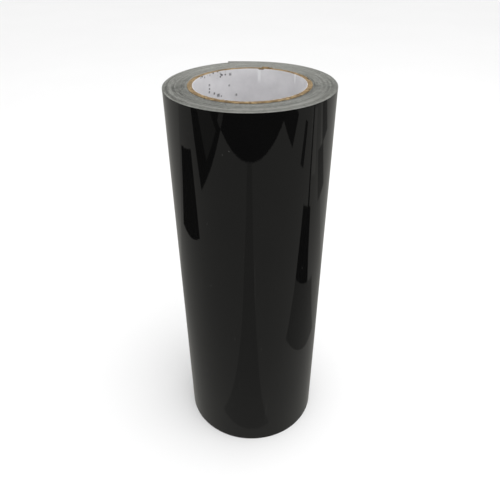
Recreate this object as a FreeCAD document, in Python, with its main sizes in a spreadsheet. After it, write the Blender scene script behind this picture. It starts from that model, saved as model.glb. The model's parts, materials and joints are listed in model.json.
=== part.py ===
"""Roll of self-adhesive sign vinyl on a paperboard core, stood on end.

Millimetres, +Z up the roll's axis. The origin is on the axis of the core's bore, in the plane of the lower end.
The web is a black face film, with its adhesive coat, on a paper release liner. It is wound face out on a core of
glued plies. Seen from above it winds outwards anticlockwise. Part of the outer turn is a free tail, whose end
springs off the roll and where the film can be picked off its liner.
"""
import FreeCAD, Part
import math
import os

import Sketcher
from FreeCAD import Placement, Rotation, Vector

DOC = FreeCAD.newDocument("sign_vinyl_roll")
PARTS_FOLDER = "parts"
UP = Vector(0, 0, 1)

# ---------------------------------------------------------------- driving dimensions

DIMENSIONS = [
    # alias, value, meaning
    ("roll_width", 304.8, "width of the web and length of the core, 12 inches"),
    ("bore_radius", 38.1, "3 inch core, inside"),
    ("lining_ply", 0.2, "white paper ply that lines the bore"),
    ("board_ply", 0.75, "each of the kraft board plies"),
    ("board_plies", 4, "number of board plies"),
    ("cover_ply", 0.3, "smooth kraft ply on the outside of the core"),
    ("tape_thickness", 0.1, "double-sided tape under the start of the web"),
    ("tape_arc", 30, "arc of the core that the tape covers, degrees"),
    ("liner_thickness", 0.13, "silicone-coated paper release liner"),
    ("film_thickness", 0.095, "calendered vinyl with its adhesive coat"),
    ("adhesive_thickness", 0.02, "adhesive coat on the back of the film"),
    ("wound_turns", 71, "complete turns below the outer one"),
    ("start_angle", 20, "where the web starts and where the tail leaves, degrees from +X"),
    ("tail_rise", 0.3, "how far the free tail stands off the turn below it"),
    ("stretch_arc", 18, "arc of each stretch of the tail, degrees"),
    ("stretches", 4, "number of curved stretches in the tail"),
    ("tip_length", 14.3, "flat end of the tail, which springs off the roll"),
    ("held_length", 2.3, "part of the flat end where the film stays on its liner"),
    ("slit", 0.2, "open slit between neighbouring stretches of the tail"),
]

SHEET = DOC.addObject("Spreadsheet::Sheet", "Dimensions")
for row, (alias, value, meaning) in enumerate(DIMENSIONS, start=1):
    SHEET.set(f"A{row}", alias)
    SHEET.set(f"B{row}", str(value))
    SHEET.set(f"C{row}", meaning)
    SHEET.setAlias(f"B{row}", alias)
DOC.recompute()


def size(alias):
    """The value of one cell of the sheet."""
    return float(getattr(SHEET, alias))


def cells(text):
    """An expression on the sheet's cells, from one that leaves out the sheet's name."""
    words = [f"Dimensions.{word}" if word[0].isalpha() else word for word in text.split()]
    return " ".join(words)


# The web's two circular half turns have centres a quarter of its thickness each side of the roll's axis.
INSIDE_COVER = "bore_radius + lining_ply + board_plies * board_ply"
CORE = f"{INSIDE_COVER} + cover_ply"
WOUND = f"{CORE} + tape_thickness + 0.25 * ( liner_thickness + film_thickness )"
TAIL = f"{WOUND} + ( wound_turns + 1 ) * ( liner_thickness + film_thickness ) + tail_rise"

ROLL_WIDTH = size("roll_width")
LINER = size("liner_thickness")
WEB = LINER + size("film_thickness")
CORE_RADIUS = (size("bore_radius") + size("lining_ply") + size("board_plies") * size("board_ply")
               + size("cover_ply"))
WOUND_RADIUS = CORE_RADIUS + size("tape_thickness") + WEB / 4
WOUND_TURNS = int(size("wound_turns"))
TAIL_RADIUS = WOUND_RADIUS + (WOUND_TURNS + 1) * WEB + size("tail_rise")
START = size("start_angle")
SUBPARTS = []


def keep(feature, label):
    """Names a finished sub-part, which is then checked and exported."""
    feature.Label = label
    SUBPARTS.append(feature)


def direction(degrees):
    """Unit vector in the plane of the roll's end."""
    angle = math.radians(degrees)
    return Vector(math.cos(angle), math.sin(angle), 0)


# ---------------------------------------------------------------- core

def core_ply(label, inner, thickness):
    """A tube of one ply, from its inner radius and its thickness as expressions."""
    body = DOC.addObject("PartDesign::Body", "Body_" + label)
    sketch = body.newObject("Sketcher::SketchObject", "Section_" + label)
    plane = next(f for f in body.Origin.OriginFeatures if f.Role == "XY_Plane")
    sketch.AttachmentSupport = [(plane, "")]
    sketch.MapMode = "FlatFace"
    for ring, radius in enumerate((inner, f"{inner} + {thickness}")):
        drawn = CORE_RADIUS + ring
        sketch.addGeometry(Part.Circle(Vector(), UP, drawn), False)
        sketch.addConstraint(Sketcher.Constraint("Coincident", ring, 3, -1, 1))
        at = sketch.addConstraint(Sketcher.Constraint("Radius", ring, drawn))
        sketch.setExpression(f"Constraints[{at}]", cells(radius))
    pad = body.newObject("PartDesign::Pad", "Tube_" + label)
    pad.Profile = sketch
    pad.setExpression("Length", cells("roll_width"))
    keep(body, label)


def make_core():
    """Wound paper tube, from the bore outwards: white lining, board plies and a smooth kraft cover."""
    core_ply("core_inner_liner", "bore_radius", "lining_ply")
    for ply in range(int(size("board_plies"))):
        core_ply(f"core_board_ply_{ply + 1}", f"bore_radius + lining_ply + {ply} * board_ply", "board_ply")
    core_ply("core_outer_ply", INSIDE_COVER, "cover_ply")


# ---------------------------------------------------------------- curved strips

def web_centre(half_turn):
    """Centre of one half turn of the web, counted from its start."""
    side = -1 if half_turn % 2 == 0 else 1
    return direction(START) * (side * WEB / 4)


def cylinder(name, radius, arc, turned):
    """A full or part cylinder of the roll's width, about the centre of the web's even half turns."""
    made = DOC.addObject("Part::Cylinder", name)
    made.setExpression("Radius", cells(radius))
    made.setExpression("Height", cells("roll_width"))
    made.setExpression("Angle", cells(arc))
    made.Placement = Placement(web_centre(0), Rotation(UP, turned))
    return made


def curved_strip(label, inner, thickness, begin, arc):
    """An arc of one layer, cut from two cylinders."""
    strip = DOC.addObject("Part::Cut", "Strip_" + label)
    strip.Base = cylinder("Outer_" + label, f"{inner} + {thickness}", arc, begin)
    strip.Tool = cylinder("Inner_" + label, inner, "360", 0)
    keep(strip, label)


def make_start_tape():
    """Double-sided tape between the core and the start of the web."""
    tape = DOC.addObject("Part::Cut", "Strip_start_tape")
    tape.Base = cylinder("Outer_start_tape", WOUND, "tape_arc", START)
    tape.Tool = cylinder("Inner_start_tape", CORE, "360", 0)
    tape.Tool.Placement = Placement()
    keep(tape, "core_start_tape")


# ---------------------------------------------------------------- wound web

def half_turn_edge(half_turn, depth):
    """One half circle of the wound web, at a depth in it from its inner face."""
    centre = web_centre(half_turn)
    radius = WOUND_RADIUS + half_turn * WEB / 2 + depth
    begin = START + 180 * half_turn
    quarters = [centre + direction(begin + 90 * quarter) * radius for quarter in range(3)]
    return Part.Arc(*quarters).toShape()


def wound_strip(label, turns, inside, outside):
    """Whole turns of one layer of the web, between two depths in it, with each half circle tangent to the next."""
    half_turns = range(2 * turns[0], 2 * turns[1])
    inner = [half_turn_edge(number, inside) for number in half_turns]
    outer = [half_turn_edge(number, outside) for number in half_turns]
    cut_start = Part.makeLine(inner[0].firstVertex().Point, outer[0].firstVertex().Point)
    cut_end = Part.makeLine(inner[-1].lastVertex().Point, outer[-1].lastVertex().Point)
    border = Part.Wire(Part.__sortEdges__(inner + [cut_end] + outer + [cut_start]))
    strip = DOC.addObject("Part::Feature", "Strip_" + label)
    strip.Shape = Part.Face(border).extrude(UP * ROLL_WIDTH)
    keep(strip, label)


def make_wound_web():
    """Release liner towards the core and film outwards, face to face all the way."""
    buried = (0, WOUND_TURNS)
    outside = (WOUND_TURNS, WOUND_TURNS + 1)
    wound_strip("release_liner_wound", buried, 0, LINER)
    wound_strip("vinyl_film_wound", buried, LINER, WEB)
    wound_strip("release_liner_outer_turn", outside, 0, LINER)
    wound_strip("vinyl_film_outer_turn", outside, LINER, WEB)


# ---------------------------------------------------------------- free tail

def make_tail_stretches():
    """Curved stretches of the free tail. The film and the liner of each are stuck together."""
    half_slit = math.degrees(size("slit") / 2 / TAIL_RADIUS)
    for number in range(int(size("stretches"))):
        begin = START + number * size("stretch_arc") + half_slit
        arc = f"stretch_arc - {2 * half_slit}"
        curved_strip(f"tail_liner_{number + 1}", TAIL, "liner_thickness", begin, arc)
        curved_strip(f"tail_film_{number + 1}", f"{TAIL} + liner_thickness", "film_thickness", begin, arc)


def flat_strip(label, along, length, depth, thickness):
    """Part of the flat end: how far along it starts, its length, and how deep it lies below the outer face."""
    angle = START + size("stretches") * size("stretch_arc")
    strip = DOC.addObject("Part::Box", "Strip_" + label)
    strip.setExpression("Length", cells(length))
    strip.setExpression("Width", cells(thickness))
    strip.setExpression("Height", cells("roll_width"))
    corner = web_centre(0) + direction(angle) * (TAIL_RADIUS + WEB - depth) + direction(angle + 90) * along
    strip.Placement = Placement(corner, Rotation(UP, angle + 90))
    keep(strip, label)


def make_tip():
    """The flat end of the tail: a liner, a short length of film that stays on it, and the film that peels."""
    slit = size("slit")
    film = size("film_thickness")
    adhesive = size("adhesive_thickness")
    flat_strip("tip_liner", slit / 2, "tip_length - 0.5 * slit", film, "liner_thickness")
    flat_strip("tip_film_held", slit / 2, "held_length - slit", 0, "film_thickness")
    peels_from = size("held_length") + slit / 2
    loose = "tip_length - held_length - 0.5 * slit"
    flat_strip("tip_film_loose", peels_from, loose, 0, "film_thickness - adhesive_thickness")
    flat_strip("tip_adhesive", peels_from, loose, film - adhesive, "adhesive_thickness")


for make in (make_core, make_start_tape, make_wound_web, make_tail_stretches, make_tip):
    make()
DOC.recompute()

# ---------------------------------------------------------------- checks and export

for feature in DOC.Objects:
    if "Invalid" in feature.State or "Error" in feature.State:
        raise RuntimeError(f"{feature.Label} did not compute: {feature.State}")
for feature in SUBPARTS:
    shape = feature.Shape
    if shape.isNull() or not shape.isValid() or len(shape.Solids) != 1:
        raise RuntimeError(f"{feature.Label} is not one valid solid")

os.makedirs(PARTS_FOLDER, exist_ok=True)
for feature in SUBPARTS:
    feature.Shape.exportStep(f"{PARTS_FOLDER}/{feature.Label}.step")
    print(f"{feature.Label}: {feature.Shape.Volume:.1f} mm3")
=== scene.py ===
# %% [markdown]
# # A roll of sign vinyl, stood on end
#
# The real object is a paper tube with some twenty metres of web wound on it. The web is a black gloss
# film that is stuck to a release liner of off-white paper. Three things make it look like itself: the
# fine grey grain of the wound edges, the raw brown edge of the tube with its white lining, and the
# mirror-like black of the outer turn. This lesson makes each of those as real geometry and then gives
# it a finish.
#
# The first cell loads the CAD model as a fixed frame. Everything made here is placed from it.

# %% Load the frame
import json
import math

import bpy
import numpy as np
from mathutils import Matrix, Vector


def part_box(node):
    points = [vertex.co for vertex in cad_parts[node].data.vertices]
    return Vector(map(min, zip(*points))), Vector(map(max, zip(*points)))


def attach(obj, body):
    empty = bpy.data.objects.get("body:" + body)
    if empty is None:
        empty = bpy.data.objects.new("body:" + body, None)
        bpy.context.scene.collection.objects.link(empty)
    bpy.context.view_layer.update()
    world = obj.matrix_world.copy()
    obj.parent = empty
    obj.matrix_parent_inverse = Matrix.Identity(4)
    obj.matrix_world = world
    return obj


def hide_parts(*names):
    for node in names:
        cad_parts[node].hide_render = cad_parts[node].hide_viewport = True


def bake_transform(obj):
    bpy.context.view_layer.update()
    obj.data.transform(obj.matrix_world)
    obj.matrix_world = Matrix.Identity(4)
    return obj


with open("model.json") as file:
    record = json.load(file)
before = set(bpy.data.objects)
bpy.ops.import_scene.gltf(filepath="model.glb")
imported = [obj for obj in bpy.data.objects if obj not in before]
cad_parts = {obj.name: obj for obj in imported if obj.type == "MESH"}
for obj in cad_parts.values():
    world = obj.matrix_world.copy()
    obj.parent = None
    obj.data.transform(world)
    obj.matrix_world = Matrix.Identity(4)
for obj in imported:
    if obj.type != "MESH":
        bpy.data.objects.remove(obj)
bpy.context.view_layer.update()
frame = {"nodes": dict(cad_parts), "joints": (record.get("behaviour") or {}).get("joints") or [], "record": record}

# %% [markdown]
# ## Sizes
#
# Sizes come from the frame wherever it holds them: the bore from its mount, the tube from its outer
# ply, and the free tail from its hinges. Only the thicknesses of the layers are stated here, because
# they are the values that drive the whole roll. The last line checks them: 72 turns of web on the tube
# have to reach the first hinge.

# %% Sizes of the roll
MM = 0.001
bore = next(mount for mount in frame["record"]["mounts"] if mount["name"] == "core_bore")
hinges = {joint["name"]: Vector(joint["pos_m"]) for joint in frame["joints"]}

ROLL_WIDTH = bore["dims"]["length_mm"] * MM
BORE_RADIUS = bore["dims"]["r_mm"] * MM
CORE_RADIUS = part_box("core_outer_ply")[1].x

FILM = 0.095 * MM
ADHESIVE = 0.02 * MM
LINER = 0.13 * MM
WEB = FILM + LINER
TAPE = 0.1 * MM
TURNS = 72
TAIL_RISE = 0.3 * MM

reached = CORE_RADIUS + TAPE + TURNS * WEB + TAIL_RISE + WEB
print("outer face by the turns and by the hinge, mm:",
      round(reached / MM, 2), round(hinges["tail_lift"].xy.length / MM, 2))

# %% [markdown]
# ## Small helpers
#
# Every operator in Blender works on what is selected, and loading the frame leaves all of it selected.
# So each new piece starts from an empty selection. Two more helpers read and write a mesh's points as
# one array, which is how a long strip is rolled up further down.

# %% Selecting, and reading points
def start_clean():
    """Leaves edit mode's and object mode's selections empty."""
    if bpy.context.object and bpy.context.object.mode != "OBJECT":
        bpy.ops.object.mode_set(mode="OBJECT")
    bpy.ops.object.select_all(action="DESELECT")


def make_active(piece):
    """Selects one piece only."""
    start_clean()
    piece.select_set(True)
    bpy.context.view_layer.objects.active = piece


def points_of(piece):
    """The piece's points, one row each."""
    flat = np.zeros(len(piece.data.vertices) * 3)
    piece.data.vertices.foreach_get("co", flat)
    return flat.reshape(-1, 3)


def move_points(piece, points):
    """Gives the piece new points, in the same order."""
    piece.data.vertices.foreach_set("co", np.ascontiguousarray(points).ravel())
    piece.data.update()


def thicken(piece, thickness):
    """Grows a sheet outwards into a closed solid, and keeps its cut edges crisp."""
    make_active(piece)
    solidify = piece.modifiers.new("thickness", "SOLIDIFY")
    solidify.thickness = thickness
    solidify.offset = 1
    bpy.ops.object.modifier_apply(modifier=solidify.name)
    bpy.ops.object.shade_smooth_by_angle(angle=math.radians(30))


def triangles(piece):
    """How many triangles the piece has."""
    return sum(len(face.vertices) - 2 for face in piece.data.polygons)


# %% [markdown]
# ## The paper tube
#
# The core is built up from strips of kraft board glued one on another, with a white paper lining in the
# bore. Each strip closes on itself at a straight seam, and the saw that cuts the tube to length leaves
# its edge furred. It could be one thick tube with a bump map, but the eye reads the separate plies at
# the cut end. So each ply starts as a circle, is extruded in three lifts to the tube's length, loses
# one narrow column of faces if it has a seam, and gets its thickness. The points of its two cut edges
# are shaken by a tenth or two of a millimetre. The saw wasn't quite square, so the upper edge slants
# and stands a little proud of the windings on the near side.

# %% One ply of the tube
PLY_COLUMNS = 360
EDGE_BAND = 1.5 * MM
SLANT = 0.6 * MM


def angles_of(points):
    """Each point's direction from the roll's axis, in degrees from 0 to 360."""
    return np.degrees(np.arctan2(points[:, 1], points[:, 0])) % 360


def face_centres(piece):
    """The middle of each face."""
    return np.array([face.center for face in piece.data.polygons])


def select_faces(piece, wanted):
    """Selects exactly the faces for which wanted is true."""
    piece.data.vertices.foreach_set("select", np.zeros(len(piece.data.vertices), bool))
    piece.data.edges.foreach_set("select", np.zeros(len(piece.data.edges), bool))
    piece.data.polygons.foreach_set("select", np.asarray(wanted, bool))


def select_points(piece, wanted):
    """Selects exactly the points for which wanted is true."""
    piece.data.polygons.foreach_set("select", np.zeros(len(piece.data.polygons), bool))
    piece.data.edges.foreach_set("select", np.zeros(len(piece.data.edges), bool))
    piece.data.vertices.foreach_set("select", np.asarray(wanted, bool))


def part_at(piece, seam):
    """Takes out the one column of faces that lies in the direction of the seam."""
    bpy.ops.object.mode_set(mode="EDIT")
    bpy.ops.mesh.select_all(action="DESELECT")
    bpy.ops.mesh.select_mode(type="FACE")
    bpy.ops.object.mode_set(mode="OBJECT")
    off_seam = abs((angles_of(face_centres(piece)) - seam + 180) % 360 - 180)
    select_faces(piece, off_seam < 180 / PLY_COLUMNS)
    bpy.ops.object.mode_set(mode="EDIT")
    bpy.ops.mesh.delete(type="FACE")
    bpy.ops.mesh.select_mode(type="VERT")
    bpy.ops.object.mode_set(mode="OBJECT")


def ply(name, inner, thickness, fur, seed, seam=None):
    """A tube of the roll's full width. With a seam, it is parted in the direction of that angle."""
    start_clean()
    bpy.ops.mesh.primitive_circle_add(vertices=PLY_COLUMNS, radius=inner)
    piece = bpy.context.object
    piece.name = name
    bpy.ops.object.mode_set(mode="EDIT")
    bpy.ops.mesh.select_all(action="SELECT")
    for lift in (EDGE_BAND, ROLL_WIDTH - 2 * EDGE_BAND, EDGE_BAND):
        bpy.ops.mesh.extrude_region_move(TRANSFORM_OT_translate={"value": (0, 0, lift)})
    bpy.ops.mesh.select_all(action="SELECT")
    bpy.ops.mesh.normals_make_consistent(inside=False)
    bpy.ops.object.mode_set(mode="OBJECT")
    if seam is not None:
        part_at(piece, seam)
    thicken(piece, thickness)

    height = points_of(piece)[:, 2]
    select_points(piece, (height < MM / 10) | (height > ROLL_WIDTH - MM / 10))
    bpy.ops.object.mode_set(mode="EDIT")
    bpy.ops.transform.vertex_random(offset=fur, uniform=0, normal=0, seed=seed)
    bpy.ops.object.mode_set(mode="OBJECT")
    points = points_of(piece)
    points[:, 2] = points[:, 2].clip(0, ROLL_WIDTH + fur)
    points[:, 2] += SLANT * (1 - points[:, 1] / CORE_RADIUS) / 2 * (points[:, 2] > ROLL_WIDTH - MM)
    move_points(piece, points)
    print(name, triangles(piece), "triangles, seam:", seam)
    return piece


# %% [markdown]
# The lining is thin enough to lap over itself, so it shows no seam and stays a closed tube. Each board
# is butted at a seam of its own, a good way round from the last one, as a tube winder sets them.

# %% The plies, from the bore outwards
LINING = 0.2 * MM
BOARD = 0.75 * MM
COVER = 0.3 * MM
BOARD_SEAMS = (78, 164, 251, 338)

lining = ply("lining", BORE_RADIUS, LINING, 0.04 * MM, 3)
boards = [
    ply(f"board_{number + 1}", BORE_RADIUS + LINING + number * BOARD, BOARD, 0.22 * MM, 20 + number, seam)
    for number, seam in enumerate(BOARD_SEAMS)
]
cover = ply("cover", CORE_RADIUS - COVER, COVER, 0.15 * MM, 31, 69)


# %% [markdown]
# A sawn paper tube is never clean. At the back of this one the cover has a torn tongue that the saw
# left standing, and the lining is torn away beside it, so the brown board shows from the bore. To the
# right the cover has a small dent, a deep narrow slot whose darkness is also painted into the kraft as
# shade. Each fault is made by selecting a few points of the cut edge and moving them.

# %% Tongue, tear and nick
DENT_AT = 13.5
DENT_HALF_WIDTH = 2


def shift_edge(piece, from_angle, to_angle, shift, reach=MM):
    """Moves the upper cut edge of a ply between two directions, and the points within reach of it."""
    points = points_of(piece)
    direction = angles_of(points)
    near_edge = points[:, 2] > ROLL_WIDTH - reach
    select_points(piece, near_edge & (direction > from_angle) & (direction < to_angle))
    make_active(piece)
    bpy.ops.object.mode_set(mode="EDIT")
    bpy.ops.transform.translate(value=(0, 0, shift))
    bpy.ops.object.mode_set(mode="OBJECT")


shift_edge(cover, 66, 77, 0.7 * MM)
shift_edge(boards[3], 67, 77, 0.5 * MM)
shift_edge(lining, 74.5, 80, -0.6 * MM)
for piece in (cover, boards[3]):
    shift_edge(piece, DENT_AT - DENT_HALF_WIDTH, DENT_AT + DENT_HALF_WIDTH, -5 * MM, reach=2 * MM)
print("the tongue stands", round((points_of(cover)[:, 2].max() - ROLL_WIDTH) / MM, 2), "mm over the end")

# %% [markdown]
# Two soft upright creases run down the lining from its edge, where the saw pulled it off the board. A
# crease is a shallow ridge, so it needs a few more rows of faces first. Bisect cuts them, and the
# points of the bore's face are then moved towards the axis by a smooth bump. The same list places the
# paler paper on the creases.

# %% Creases in the lining
CREASES = ((79.5, 2.1, 10.5 * MM), (33.5, 1.4, 7 * MM))
CREASE_ROWS = 5


def crease(piece, middle, half_width, depth, height):
    """Raises a ridge on the bore's face that fades with depth from the upper edge."""
    make_active(piece)
    bpy.ops.object.mode_set(mode="EDIT")
    for row in range(1, CREASE_ROWS + 1):
        level = ROLL_WIDTH - EDGE_BAND - (depth - EDGE_BAND) * row / CREASE_ROWS
        bpy.ops.mesh.select_all(action="SELECT")
        bpy.ops.mesh.bisect(plane_co=(0, 0, level), plane_no=(0, 0, 1))
    bpy.ops.object.mode_set(mode="OBJECT")
    points = points_of(piece)
    radius = np.hypot(points[:, 0], points[:, 1])
    aside = abs((angles_of(points) - middle + 180) % 360 - 180) / half_width
    down = (ROLL_WIDTH - points[:, 2]) / depth
    ridge = np.cos(np.clip(aside, 0, 1) * math.pi / 2) ** 2 * np.clip(1 - down, 0, 1)
    ridge = np.where(radius < BORE_RADIUS + LINING / 4, ridge * height, 0)
    points[:, :2] *= (1 - ridge / radius)[:, None]
    move_points(piece, points)
    print("crease:", round(ridge.max() / MM, 2), "mm high at", middle, "degrees")


for middle, half_width, depth in CREASES:
    crease(lining, middle, half_width, depth, 0.12 * MM)

# %% [markdown]
# ## Rolling up the web
#
# The web is one flat strip, and the honest way to make it is the way the factory does: lay it out flat,
# then roll it up. A grid primitive stands for the flat strip. Each of its points is then moved to its
# place on the roll, where the distance along the strip becomes an angle and a radius. A screw or a spin
# can't do this, because the radius grows as it turns.
#
# Each turn lies on the one below, so the radius grows by one web thickness a turn. The square start of
# the web makes a step. The first turns climb it sharply and the later ones spread it out, which is why
# a small dark notch stays beside the start.

# %% Where the web lies
START = math.degrees(math.atan2(hinges["tail_lift"].y, hinges["tail_lift"].x))
STRETCH = math.degrees(hinges["tail_lift"].xy.angle(hinges["tail_bend_2"].xy))
TAIL_AT = 360 * TURNS
TIP_AT = TAIL_AT + 4 * STRETCH
RAMP = 14
FIRST_RADIUS = CORE_RADIUS + TAPE


def smooth_step(share):
    """From 0 to 1 with no corner at either end."""
    share = np.clip(share, 0, 1)
    return share * share * (3 - 2 * share)


def web_radius(turned):
    """Radius of the web's inner face, after that many degrees of winding."""
    turn = np.floor(turned / 360)
    share = turned / 360 - turn
    sharpness = 1 + 14 * np.exp(-turn / 6)
    off_the_roll = TAIL_RISE * smooth_step((turned - TAIL_AT + RAMP) / RAMP)
    return FIRST_RADIUS + WEB * (turn + share**sharpness) + off_the_roll


def web_place(turned, depth):
    """Where a face of the web lies in plan, at a depth above its inner face. The tip runs straight."""
    on_curve = np.minimum(turned, TIP_AT)
    angle = np.radians(START + on_curve)
    radius = web_radius(on_curve) + depth
    straight = np.radians(turned - on_curve) * hinges["tip_bend"].xy.length
    across = radius * np.cos(angle) - straight * np.sin(angle)
    away = radius * np.sin(angle) + straight * np.cos(angle)
    return across, away


print("web starts at", round(START, 2), "degrees and each stretch of the tail turns", round(STRETCH, 2))

# %% [markdown]
# A real roll is never wound dead straight. The web wanders sideways by a few tenths of a millimetre,
# which gives the end face its fine rings. The outer turn isn't pressed down by anything, so it stands
# off the pack in long shallow waves. The wander comes from a generator with a fixed seed and the waves
# are sums of sines, so the roll is the same each time.

# %% Wander and waves
CREEP = 0.4 * MM
CREEP_OVER = 24
CREEP_FROM = TIP_AT - 10
SLOW = 4
turn_numbers = np.arange(TURNS + SLOW)

chance = np.random.default_rng(11)
every_turn = 0.06 * MM * chance.uniform(0, 1, len(turn_numbers))
odd_turn = 0.3 * MM * chance.uniform(0, 1, len(turn_numbers)) ** 9
slow_drift = 0.16 * MM * chance.uniform(0, 1, TURNS // SLOW + 2)
wander_by_turn = every_turn + odd_turn
wander_by_turn += np.interp(turn_numbers, SLOW * np.arange(len(slow_drift)), slow_drift)
print("the web wanders by up to", round(wander_by_turn.max() / MM, 2), "mm")


def sideways(turned):
    """How far the web has wandered up the axis. The loose end has crept up a little further."""
    wander = np.interp(turned / 360, turn_numbers, wander_by_turn)
    return wander + CREEP * smooth_step((turned - CREEP_FROM) / CREEP_OVER)


def stand_off(turned, height):
    """How far the outer turn stands off the pack, in slow waves."""
    angle = np.radians(turned)
    wave = np.sin(3 * angle + 26 * height) + np.sin(5 * angle - 41 * height + 1.3)
    wave += 0.6 * np.sin(2 * angle + 70 * height + 4) + 0.5 * np.sin(9 * angle + 15 * height + 2)
    settled = smooth_step((turned - TAIL_AT + 360) / 40)
    return 0.02 * MM * (3.1 + wave) * settled


# %% [markdown]
# The strip is laid out as a grid, rolled, and only then given its thickness, so the thickness is true
# everywhere. Film and liner take turns, face to face, and share their divisions round the roll, so they
# never cut into each other.
#
# Vinyl shrinks a little with age and paper doesn't, so the film's edge sits a few hundredths of a
# millimetre low. This is too small to see but it changes the light: across the windings only the pale
# liner shows, and along them the dark slots between do. That is why the end of a real roll looks
# lighter near and far than at its sides.

# %% Roll a strip
SHRINKAGE = 0.035 * MM


def roll_up(name, from_turned, to_turned, step, rows, depth, thickness, waves=False, shrunk=0.0):
    """One layer of the web between two amounts of winding, in degrees."""
    start_clean()
    columns = max(2, round((to_turned - from_turned) / step))
    bpy.ops.mesh.primitive_grid_add(x_subdivisions=columns, y_subdivisions=rows, size=1)
    piece = bpy.context.object
    piece.name = name
    flat = points_of(piece) + 0.5
    turned = from_turned + flat[:, 0] * (to_turned - from_turned)
    height = shrunk + flat[:, 1] * (ROLL_WIDTH - 2 * shrunk)
    if waves:
        depth = depth + stand_off(turned, height)
    across, away = web_place(turned, depth)
    move_points(piece, np.column_stack((across, away, height + sideways(turned))))
    thicken(piece, thickness)
    print(name, triangles(piece), "triangles")
    return piece


BURIED = (0, 360 * (TURNS - 1))
OUTER = (360 * (TURNS - 1), TAIL_AT - RAMP)
liner_wound = roll_up("liner_wound", *BURIED, 3, 1, 0, LINER)
film_wound = roll_up("film_wound", *BURIED, 3, 1, LINER, FILM, shrunk=SHRINKAGE)
liner_outer = roll_up("liner_outer", *OUTER, 1, 32, 0, LINER, waves=True)
film_outer = roll_up("film_outer", *OUTER, 1, 32, LINER, FILM, waves=True, shrunk=SHRINKAGE)

# %% [markdown]
# ## The free tail
#
# The last quarter turn of the web is free, and bends as it is lifted. In the frame it is a chain of
# short rigid stretches on hinges. The pieces that are seen are cut at the middle of each stretch
# instead, so that every piece has one hinge inside it.

# %% Tail pieces
tip_way = (hinges["film_peel"] - hinges["tip_bend"]).xy
HELD = tip_way.length
TIP_LENGTH = (hinges["tip_bend"].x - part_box("tip_film_loose")[0].x) / -tip_way.normalized().x


def on_tip(length):
    """The winding that stands for a place on the straight tip, from its length along the tip."""
    return TIP_AT + math.degrees(length / hinges["tip_bend"].xy.length)


def place(turned, depth=LINER):
    across, away = web_place(np.array([float(turned)]), depth)
    return (float(across[0]), float(away[0]), ROLL_WIDTH / 2)


CUTS = [TAIL_AT - RAMP] + [TAIL_AT + (number + 0.5) * STRETCH for number in range(4)] + [on_tip(HELD / 2)]
LAYERS = {"liner": (0, LINER, 0.0), "film": (LINER, FILM, SHRINKAGE)}

tail = {}
for layer, (depth, thickness, shrunk) in LAYERS.items():
    for number in range(5):
        cut_from, cut_to = CUTS[number], CUTS[number + 1]
        piece = roll_up(f"tail_{layer}_bend_{number + 1}", cut_from, cut_to, 0.75, 32, depth, thickness,
                        waves=True, shrunk=shrunk)
        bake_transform(piece)
        tail[layer, number] = piece

# %% [markdown]
# Past the last hinge the liner runs flat to its end. The film on it can be picked off. When it is
# peeled, it curls back over five millimetres and shows its grey adhesive coat, which is a layer of its
# own here.

# %% The tip
tip_ends = (CUTS[-1], on_tip(TIP_LENGTH))
tip_liner = roll_up("tip_liner_flat", *tip_ends, 0.5, 32, 0, LINER, waves=True)
tip_film = roll_up("tip_film_peel", *tip_ends, 0.15, 32, LINER + ADHESIVE, FILM - ADHESIVE,
                   waves=True, shrunk=SHRINKAGE)
tip_adhesive = roll_up("tip_adhesive_coat", *tip_ends, 0.15, 32, LINER, ADHESIVE,
                       waves=True, shrunk=SHRINKAGE)
for piece in (tip_film, tip_adhesive):
    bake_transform(piece)
print("tip:", round(TIP_LENGTH / MM, 1), "mm long, held for", round(HELD / MM, 1), "mm")

# %% [markdown]
# ## Two finishes on one strip
#
# A slit edge doesn't look like the face of the same material. The film's face is a mirror, while its
# cut edge is matt and a little grey. Each strip therefore carries two materials, and a face takes the
# second one where it looks straight up or down. This is done on the finished faces, so it follows them
# when the tail bends.

# %% Mark the slit edges
FACE, SLIT = 0, 1


def mark_slit_edges(piece):
    """Gives the second material to the faces along the two ends of the roll."""
    normals = np.array([face.normal for face in piece.data.polygons])
    which = np.where(abs(normals[:, 2]) > 0.7, SLIT, FACE)
    piece.data.polygons.foreach_set("material_index", which.astype(np.int32))


def dress(piece, *materials):
    """Gives the piece its materials, in order."""
    piece.data.materials.clear()
    for material in materials:
        piece.data.materials.append(material)


# %% [markdown]
# ## Materials
#
# Every finish below is built from nodes. Two helpers keep that short: one makes a material and sets the
# values that are the same all over it, and the other adds a node and fills in or links its sockets.

# %% Node helpers
def new_finish(name, values):
    """A material whose constant values are set on the shader's own sockets."""
    material = bpy.data.materials.new(name)
    material.use_nodes = True
    shader = material.node_tree.nodes["Principled BSDF"]
    for socket, value in values.items():
        shader.inputs[socket].default_value = value
    return material


def fill(material, node, inputs):
    """Sets or links a node's sockets."""
    for socket, value in inputs.items():
        if isinstance(value, bpy.types.NodeSocket):
            material.node_tree.links.new(value, node.inputs[socket])
        else:
            node.inputs[socket].default_value = value


def add(material, kind, inputs, **settings):
    """A new node of that kind, with its settings and sockets filled in."""
    node = material.node_tree.nodes.new("ShaderNode" + kind)
    for setting, value in settings.items():
        setattr(node, setting, value)
    fill(material, node, inputs)
    return node


def to_shader(material, inputs):
    """Links outputs into the material's shader."""
    fill(material, material.node_tree.nodes["Principled BSDF"], inputs)


def maths(material, operation, *values):
    """The outcome of one sum on values or sockets."""
    return add(material, "Math", dict(enumerate(values)), operation=operation).outputs["Value"]


def spread(material, value, from_low, from_high, to_low, to_high):
    """Maps one range of a value onto another, and stops at its ends."""
    return add(material, "MapRange", {"Value": value, "From Min": from_low, "From Max": from_high,
                                      "To Min": to_low, "To Max": to_high}).outputs["Result"]


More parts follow.
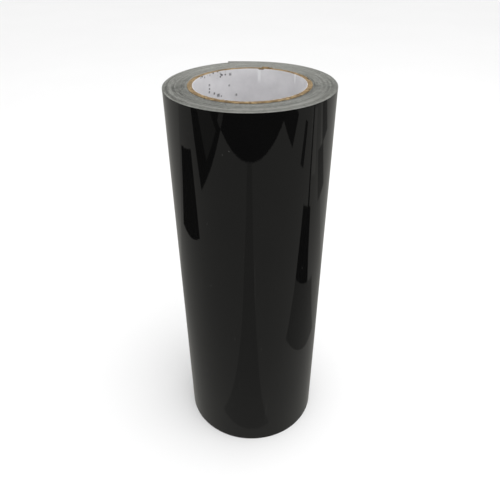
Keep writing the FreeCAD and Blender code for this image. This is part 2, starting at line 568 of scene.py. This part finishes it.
def mixed(material, share, first, second):
    """A colour between two colours."""
    node = add(material, "Mix", {"Factor": share}, data_type="RGBA")
    fill(material, node, {6: first, 7: second})
    return node.outputs[2]


def noise(material, place, scale, detail=3.0, roughness=0.5):
    """Soft random values, from about 0.3 to 0.7."""
    return add(material, "TexNoise", {"Vector": place, "Scale": scale, "Detail": detail,
                                      "Roughness": roughness}).outputs["Fac"]


def bumped(material, height, distance, onto=None):
    """A surface normal pushed by a height, in metres at full height."""
    inputs = {"Height": height, "Distance": distance, "Strength": 1.0}
    if onto is not None:
        inputs["Normal"] = onto
    return add(material, "Bump", inputs).outputs["Normal"]


def stretched(material, x, y, z):
    """The piece's own coordinates, stretched along each axis."""
    here = add(material, "TexCoord", {}).outputs["Object"]
    return add(material, "Mapping", {"Vector": here, "Scale": (x, y, z)}).outputs["Vector"]


# %% [markdown]
# The wound end is hundreds of thin edges side by side. What shows is a grain that runs round the axis,
# very fine across and long around. To draw it, the coordinates are turned into a radius and a
# direction. The direction is kept as a unit vector, not an angle, so that the grain has no join.

# %% Coordinates that run round the roll
def ring_place(material, across, around):
    """Coordinates scaled separately across the windings, per metre, and around them."""
    here = add(material, "TexCoord", {}).outputs["Object"]
    flat = add(material, "VectorMath", {0: here, 1: (1, 1, 0)}, operation="MULTIPLY").outputs["Vector"]
    radius = add(material, "VectorMath", {0: flat}, operation="LENGTH").outputs["Value"]
    way = add(material, "VectorMath", {0: flat}, operation="NORMALIZE").outputs["Vector"]
    way = add(material, "SeparateXYZ", {"Vector": way}).outputs
    scaled = maths(material, "MULTIPLY", radius, across)
    turned = [maths(material, "MULTIPLY", way[axis], around) for axis in ("X", "Y")]
    return add(material, "CombineXYZ", {"X": scaled, "Y": turned[0], "Z": turned[1]}).outputs["Vector"]


def ring_grain(material):
    """Streaks round the roll, broad ones over fine ones, broken up by light specks that are painted glints in the
    colour. Its mean is 1.45.
    """
    broad = noise(material, ring_place(material, 1500, 0.7), 1.0, detail=2, roughness=0.6)
    fine = noise(material, ring_place(material, 4200, 5), 1.0, detail=4, roughness=0.75)
    # The specks lighten the edges' colour as painted glints, and also raise small bumps.
    glint_speckle = noise(material, stretched(material, 1, 1, 1), 700, detail=3, roughness=0.7)
    streaks = maths(material, "ADD", broad, fine)
    return maths(material, "MULTIPLY_ADD", glint_speckle, 0.9, streaks)


# %% [markdown]
# **Gloss film.** Calendered vinyl is nearly black, with a tight, wet-looking gloss. Its charm is in its
# small faults: a slow ripple that bends reflections, a faint orange peel, patches that were touched and
# are a little less sharp, hair scratches, and a few grains of dust.

# %% Gloss black film
def gloss_film():
    """Black film with a wet-looking gloss, dust and hair scratches."""
    material = new_finish("gloss_black_film", {"IOR": 1.5, "Specular IOR Level": 0.5})
    here = stretched(material, 1, 1, 1)
    cells = add(material, "TexVoronoi", {"Vector": here, "Scale": 240.0})
    speck = spread(material, cells.outputs["Distance"], 0.035, 0.065, 1, 0)
    chosen = add(material, "SeparateColor", {"Color": cells.outputs["Color"]}).outputs["Red"]
    rare = spread(material, chosen, 0.93, 0.94, 0, 1)
    dust = maths(material, "MULTIPLY", speck, rare)
    hair = noise(material, stretched(material, 520, 520, 9), 1.0, detail=2)
    scratch = spread(material, hair, 0.72, 0.78, 0, 0.03)
    marks = maths(material, "MAXIMUM", dust, scratch)
    tone = mixed(material, noise(material, here, 30),
                 (0.0022, 0.0022, 0.0024, 1), (0.0038, 0.0038, 0.0036, 1))
    touched = spread(material, noise(material, here, 14, detail=5), 0.42, 0.72, 0.02, 0.06)
    rough = maths(material, "ADD", touched, marks)
    ripple = bumped(material, noise(material, stretched(material, 1, 1, 0.45), 22, detail=1), 0.00045)
    peel = bumped(material, noise(material, here, 700, detail=1), 0.0000025, onto=ripple)
    to_shader(material, {"Base Color": mixed(material, marks, tone, (0.16, 0.16, 0.15, 1)),
                         "Roughness": rough, "Normal": peel})
    return material


# %% [markdown]
# ** Slit edges.** The film's edge is a matt charcoal line and the liner's is off-white. Side by side
# they read as grey. Both take the same ring grain, as lightness and as a small bump, so light rakes
# across the rings. The grain's light specks, in the lightness, are painted glints.

# %% Edges of the film and of the liner
def slit_edge(name, dark, light, roughness):
    """A cut edge of the web, streaked round the roll between a dark and a light tone."""
    material = new_finish(name, {"Roughness": roughness, "Specular IOR Level": 0.0})
    grain = ring_grain(material)
    share = spread(material, grain, 1.10, 1.75, 0, 1)
    blotch = spread(material, noise(material, stretched(material, 1, 1, 1), 45), 0.35, 0.65, 0, 0.12)
    share = maths(material, "MAXIMUM", maths(material, "SUBTRACT", share, blotch), 0.0)
    to_shader(material, {"Base Color": mixed(material, share, dark, light),
                         "Normal": bumped(material, grain, 0.00006)})
    return material


# %% [markdown]
# **Release liner.** A dense off-white paper with a silicone coat. It has a faint cloudiness from its
# fibres, and a soft satin sheen from the silicone.

# %% Release paper
def release_paper():
    """The liner's face, pale and satin."""
    material = new_finish("release_paper", {"Specular IOR Level": 0.45, "Coat Weight": 0.15,
                                            "Coat Roughness": 0.35})
    here = stretched(material, 1, 1, 1)
    cloud = noise(material, here, 160, detail=6, roughness=0.6)
    fibre = noise(material, here, 2600, detail=3)
    to_shader(material, {
        "Base Color": mixed(material, spread(material, cloud, 0.35, 0.65, 0, 1),
                            (0.40, 0.40, 0.373, 1), (0.48, 0.48, 0.457, 1)),
        "Roughness": spread(material, fibre, 0.3, 0.7, 0.38, 0.55),
        "Normal": bumped(material, fibre, 0.000006)})
    return material


# %% [markdown]
# Marks on the tube are placed by where they are on its wall. A patch of the wall is given by its
# direction, its half width in degrees, and how far below the upper edge it begins and ends. Its borders
# are soft.

# %% Patches of the tube's wall
def wall_patch(material, middle, half_width, top, bottom):
    """A soft-edged patch of the tube's wall, as a share from 0 outside to 1 inside."""
    here = add(material, "TexCoord", {}).outputs["Object"]
    flat = add(material, "VectorMath", {0: here, 1: (1, 1, 0)}, operation="MULTIPLY").outputs["Vector"]
    way = add(material, "VectorMath", {0: flat}, operation="NORMALIZE").outputs["Vector"]
    aim = (math.cos(math.radians(middle)), math.sin(math.radians(middle)), 0)
    along = add(material, "VectorMath", {0: way, 1: aim}, operation="DOT_PRODUCT").outputs["Value"]
    beside = spread(material, along, math.cos(math.radians(half_width)),
                    math.cos(math.radians(half_width * 0.4)), 0, 1)
    height = add(material, "SeparateXYZ", {"Vector": here}).outputs["Z"]
    soft = (bottom - top) * 0.3
    above = spread(material, height, ROLL_WIDTH - bottom, ROLL_WIDTH - bottom + soft, 0, 1)
    below = spread(material, height, ROLL_WIDTH - top - soft / 2, ROLL_WIDTH - top, 1, 0)
    both = maths(material, "MULTIPLY", above, below)
    return maths(material, "MULTIPLY", both, beside)


def largest(material, values):
    """The largest of several values."""
    top = values[0]
    for value in values[1:]:
        top = maths(material, "MAXIMUM", top, value)
    return top


# %% [markdown]
# ** Kraft board.** Brown recycled fibre, cut with a saw. The cut end is furry and mottled, with pale
# fibres and dark flecks, and the plies show as fine rings. The two outer plies take a second make of
# it, with shade painted nearly black in and round the dent, where the slot's own shadow falls.

# %% Kraft board
def kraft_board(name, dent_shaded=False):
    """Brown board, as it is at a sawn end. The second make has shade painted dark round the dent."""
    material = new_finish(name, {"Roughness": 0.92, "Specular IOR Level": 0.2, "Sheen Weight": 0.08,
                                 "Sheen Roughness": 0.6})
    here = stretched(material, 1, 1, 1)
    rings = noise(material, ring_place(material, 2400, 9), 1.0, detail=4, roughness=0.65)
    mottle = noise(material, here, 330, detail=6, roughness=0.75)
    fleck = noise(material, here, 800, detail=3)
    brown = mixed(material, spread(material, rings, 0.36, 0.64, 0, 1),
                  (0.10, 0.061, 0.024, 1), (0.25, 0.165, 0.07, 1))
    paled = mixed(material, spread(material, mottle, 0.47, 0.6, 0, 0.85), brown, (0.42, 0.30, 0.15, 1))
    flecked = mixed(material, spread(material, fleck, 0.55, 0.64, 0, 0.8), paled, (0.05, 0.028, 0.011, 1))
    # Painted shade: the dent's recess and the wall round it are darkened almost to black in the colour, as its
    # shadow.
    if dent_shaded:
        dent_shade = wall_patch(material, DENT_AT, 2 * DENT_HALF_WIDTH, -2 * MM, 6 * MM)
        flecked = mixed(material, dent_shade, flecked, (0.02, 0.015, 0.01, 1))
    grown = maths(material, "ADD", mottle, rings)
    to_shader(material, {"Base Color": flecked, "Normal": bumped(material, grown, 0.0003)})
    return material


# %% [markdown]
# ** Bore lining.** White paper glued to the board, with the cool cast of cheap bleached stock, and
# slightly cockled by the glue. The paper is painted paler along its two creases. To the left, the spindle
# has left small dark scuffs: a row under the edge and a cluster beside it. Each is a patch of the wall,
# with the share of the scattered cells inside it that turn into spots. Lower down the marks are fewer,
# so each dab is placed by its direction, depth and size.

# %% White lining
SCUFFS = ((146, 10, -1 * MM, 2.5 * MM, 0.95), (124, 12, -1 * MM, 5 * MM, 0.65))
DABS = ((139.2, 7.9 * MM, 1.0 * MM), (139.4, 10.4 * MM, 0.9 * MM), (139.8, 12.7 * MM, 1.0 * MM),
        (132.7, 14.7 * MM, 1.0 * MM), (127.3, 16.8 * MM, 1.5 * MM), (123.4, 17.7 * MM, 0.7 * MM),
        (113.3, 11.0 * MM, 0.8 * MM), (105.6, 18.4 * MM, 1.1 * MM), (111.8, 3.1 * MM, 1.2 * MM))


def lining_paper():
    """The bore's white paper, paler along its creases, with scuffs and dabs."""
    material = new_finish("white_lining", {"Specular IOR Level": 0.3})
    here = stretched(material, 1, 1, 1)
    cloud = noise(material, here, 70, detail=5, roughness=0.6)
    cockle = noise(material, stretched(material, 1, 1, 0.35), 60, detail=2)
    paper = mixed(material, spread(material, cloud, 0.35, 0.65, 0, 1),
                  (0.63, 0.622, 0.637, 1), (0.735, 0.726, 0.742, 1))
    # The paper is painted paler along the two creases.
    paler_on_creases = largest(material, [wall_patch(material, middle, half_width, -2 * MM, depth)
                                for middle, half_width, depth in CREASES])
    paper = mixed(material, paler_on_creases, paper, (0.81, 0.81, 0.82, 1))
    cells = add(material, "TexVoronoi", {"Vector": here, "Scale": 480.0})
    spot = spread(material, cells.outputs["Distance"], 0.28, 0.40, 0.95, 0)
    kept = add(material, "SeparateColor", {"Color": cells.outputs["Color"]}).outputs["Green"]
    scuffs = []
    for *patch, share in SCUFFS:
        inside = spread(material, wall_patch(material, *patch), 0.2, 0.4, 0, 1)
        chosen = spread(material, kept, share, share + 0.01, 1, 0)
        scuffs.append(maths(material, "MULTIPLY", inside, chosen))
    spot = maths(material, "MULTIPLY", spot, largest(material, scuffs))
    dabs = [wall_patch(material, way, math.degrees(size / BORE_RADIUS), depth - size, depth + size)
            for way, depth, size in DABS]
    worn = spread(material, noise(material, here, 1300, detail=2), 0.35, 0.55, 0.3, 0.9)
    dab = maths(material, "MULTIPLY", largest(material, dabs), worn)
    spot = largest(material, [spot, dab])
    to_shader(material, {
        "Base Color": mixed(material, spot, paper, (0.06, 0.06, 0.065, 1)),
        "Roughness": spread(material, cloud, 0.3, 0.7, 0.5, 0.7),
        "Normal": bumped(material, cockle, 0.0004)})
    return material


# %% [markdown]
# **Adhesive and tape.** The adhesive coat is grey, to hide what the film is stuck over, and it is
# tacky: smooth, with fine stringy marks. The tape under the start of the web is thin tissue with glue
# on both sides.

# %% Adhesive coat and tape
def adhesive_coat():
    """Grey and tacky, with fine stringy marks."""
    material = new_finish("adhesive_coat", {"Specular IOR Level": 0.5, "Coat Weight": 0.3,
                                            "Coat Roughness": 0.15})
    strings = noise(material, stretched(material, 900, 900, 60), 1.0, detail=4)
    to_shader(material, {
        "Base Color": mixed(material, spread(material, strings, 0.35, 0.65, 0, 1),
                            (0.30, 0.30, 0.31, 1), (0.40, 0.40, 0.41, 1)),
        "Roughness": spread(material, strings, 0.3, 0.7, 0.22, 0.42),
        "Normal": bumped(material, strings, 0.00001)})
    return material


def tissue_tape():
    """Cream tissue that glue has soaked."""
    material = new_finish("tissue_tape", {"Roughness": 0.5, "Specular IOR Level": 0.4})
    weave = noise(material, stretched(material, 1, 1, 1), 900, detail=4)
    to_shader(material, {"Base Color": mixed(material, weave, (0.50, 0.46, 0.36, 1), (0.68, 0.64, 0.53, 1)),
                         "Normal": bumped(material, weave, 0.00001)})
    return material


# %% [markdown]
# ## Dress the pieces
#
# Each piece gets its materials. The tube and the wound and outer turns ride on the roll's body, and the
# liner's flat tip on the tip's. The CAD solids that they replace are hidden.

# %% Materials, stand-ins and bodies
film_face = gloss_film()
film_slit = slit_edge("film_slit_edge", (0.012, 0.012, 0.012, 1), (0.05, 0.05, 0.047, 1), 0.7)
paper_face = release_paper()
paper_slit = slit_edge("liner_slit_edge", (0.064, 0.066, 0.059, 1), (0.40, 0.405, 0.377, 1), 0.8)
kraft = kraft_board("kraft_board")
# The second kraft carries the dent's painted shade.
dent_shaded_kraft = kraft_board("kraft_board_dent_shaded", dent_shaded=True)
lining_white = lining_paper()
adhesive = adhesive_coat()

film_pieces = [film_wound, film_outer, tip_film] + [tail["film", number] for number in range(5)]
liner_pieces = [liner_wound, liner_outer, tip_liner] + [tail["liner", number] for number in range(5)]
for pieces, face, slit, slot in ((film_pieces, film_face, film_slit, "black_vinyl"),
                                 (liner_pieces, paper_face, paper_slit, "release_paper")):
    for piece in pieces:
        dress(piece, face, slit)
        mark_slit_edges(piece)

dress(lining, lining_white)
dress(tip_adhesive, adhesive)
for piece in boards + [cover]:
    dress(piece, dent_shaded_kraft if piece in (boards[3], cover) else kraft)
dress(frame["nodes"]["core_start_tape"], tissue_tape())
print("dressed:", len(film_pieces), "of film,", len(liner_pieces), "of liner,", len(boards) + 2, "plies")

for piece in [lining, cover, *boards, liner_wound, film_wound, liner_outer, film_outer]:
    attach(piece, "roll")
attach(tip_liner, "tail_tip")

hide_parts("core_inner_liner")
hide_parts("core_outer_ply")
for number, piece in enumerate(boards, start=1):
    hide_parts(f"core_board_ply_{number}")
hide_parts("release_liner_wound")
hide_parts("vinyl_film_wound")
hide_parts("release_liner_outer_turn")
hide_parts("vinyl_film_outer_turn")
for layer in LAYERS:
    for number in range(1, 5):
        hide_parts(f"tail_{layer}_{number}")
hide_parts("tip_film_held")
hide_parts("tip_liner")
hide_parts("tip_film_loose")
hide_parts("tip_adhesive")

# %% [markdown]
# ## Studio
#
# The floor is plain and pale, and the light is plain and soft: an even white surround, with one large
# softbox overhead to give the shapes a little direction. Colours are shown as they are, with no
# film-like curve, so that black stays black.

# %% Floor and light
start_clean()
bpy.ops.mesh.primitive_plane_add(size=60)
floor = bpy.context.object
floor.name = "floor"
pale = new_finish("pale_floor", {"Roughness": 0.8, "Specular IOR Level": 0.1})
to_shader(pale, {"Base Color": mixed(pale, noise(pale, stretched(pale, 1, 1, 1), 3),
                                     (0.86, 0.86, 0.86, 1), (0.90, 0.90, 0.90, 1))})
dress(floor, pale)

SURROUND = 1.02
world = bpy.data.worlds.new("studio")
bpy.context.scene.world = world
world.use_nodes = True
world.node_tree.nodes["Background"].inputs["Color"].default_value = (1, 1, 1, 1)
world.node_tree.nodes["Background"].inputs["Strength"].default_value = SURROUND
bpy.context.scene.view_settings.view_transform = "Standard"


def soft_light(name, place_at, aim_at, size, power):
    """A square softbox that faces a point."""
    start_clean()
    bpy.ops.object.light_add(type="AREA", location=place_at)
    light = bpy.context.object
    light.name = name
    light.data.shape = "SQUARE"
    light.data.size = size
    light.data.energy = power
    beam = Vector(aim_at) - Vector(place_at)
    light.rotation_euler = beam.to_track_quat("-Z", "Y").to_euler()
    print(name, "hangs", round(beam.length, 2), "m away")


soft_light("overhead_softbox", (0.30, -0.25, 1.4), (0, 0, 0.3), 1.0, 8)

# %% [markdown]
# A gloss black cylinder shows the room, not itself. Seen from above, its upright side mirrors whatever
# lies on the ground round it, so a photographer who wants it black lays dark cards there, out of the
# picture. Here the cards lie just under the floor and only mirror-like reflections can see them. A wide
# grey one takes the floor's place in the gloss and ends a short way in front, which draws the dark arch
# at the top of the roll. Smaller ones draw the wedge and the upright streaks that tell the eye that the
# surface is a polished cylinder.

# %% Cards for the gloss
def card(name, left, right, near, far, brightness, depth):
    """A flat card under the floor that only reflections see. A smaller depth lies on top."""
    start_clean()
    bpy.ops.mesh.primitive_plane_add(size=1, location=((left + right) / 2, (near + far) / 2, -depth))
    piece = bpy.context.object
    piece.name = name
    piece.scale = (right - left, far - near, 1)
    bpy.ops.object.transform_apply(location=True, rotation=True, scale=True)
    finish = new_finish(name, {"Base Color": (0, 0, 0, 1), "Specular IOR Level": 0.0,
                               "Emission Color": (1.0, 0.99, 0.93, 1), "Emission Strength": brightness})
    dress(piece, finish)
    for rays in ("camera", "diffuse", "transmission", "volume_scatter", "shadow"):
        setattr(piece, "visible_" + rays, False)
    print(name, "is", round(right - left, 2), "m by", round(far - near, 2), "m")


floor.visible_glossy = False
FRONT_EDGE = -0.665
card("dark_room", -30, 30, -30, 30, 0.012, 4 * MM)
card("grey_ground", -4, 4, FRONT_EDGE, 4, 0.28, 3 * MM)
card("front_strip", -0.59, -0.51, -4, FRONT_EDGE, 0.18, 2 * MM)
card("front_shade", -0.05, 0.025, FRONT_EDGE, -0.07, 0.21, 2 * MM)
card("left_card", -2.0, -0.505, FRONT_EDGE, -0.20, 0.012, 2 * MM)
card("left_card_face", -1.6, -0.57, -0.60, -0.36, 0.10, 1 * MM)
card("left_screen", -0.71, -0.37, -0.09, 0.15, 0.015, 2 * MM)
card("right_card", 0.26, 0.47, -0.11, 0.01, 0.01, 2 * MM)
card("right_shade", 0.14, 0.26, -0.11, 0.06, 0.15, 2 * MM)
card("right_bar", 0.27, 2.0, -0.035, -0.012, 0.01, 1 * MM)
card("right_blotch", 0.60, 0.83, FRONT_EDGE, -0.42, 0.02, 2 * MM)
card("right_post", 0.60, 0.85, -0.24, -0.18, 0.03, 2 * MM)
card("right_gleam", 0.58, 0.95, 0.0, 0.08, 0.38, 2 * MM)
card("right_dim_near", 0.45, 0.68, 0.14, 0.28, 0.14, 2 * MM)
card("right_dim_far", 0.68, 0.95, 0.25, 0.42, 0.14, 2 * MM)
card("far_ground", -4, 4, 0.20, 4, 0.37, 2.5 * MM)
card("back_card", -0.15, 0.15, 0.70, 4, 0.012, 2 * MM)

# %% [markdown]
# The camera stands in front of the roll, a little over its height, and looks down at it from quite
# near. That is why the roll tapers towards its foot. The small shift sets the roll a little left of the
# middle of the picture.

# %% Camera
CAMERA_AWAY = 0.3399
CAMERA_UP = 0.4015
LOOKS_DOWN = 35.63
LOOKS_LEFT = 0.70
LEANS = -0.72

bpy.ops.object.camera_add(location=(0, -CAMERA_AWAY, CAMERA_UP))
camera = bpy.context.object
turn = Matrix.Rotation(math.radians(LOOKS_LEFT), 3, "Z")
turn = turn @ Matrix.Rotation(math.radians(90 - LOOKS_DOWN), 3, "X")
turn = turn @ Matrix.Rotation(math.radians(LEANS), 3, "Z")
camera.rotation_euler = turn.to_euler()
camera.data.lens = 36
camera.data.sensor_width = 36
camera.data.shift_x = 0.0085
camera.data.shift_y = 0.0269
bpy.context.scene.camera = camera
print("the camera is", round(CAMERA_UP - ROLL_WIDTH, 3), "m above the roll's upper end")
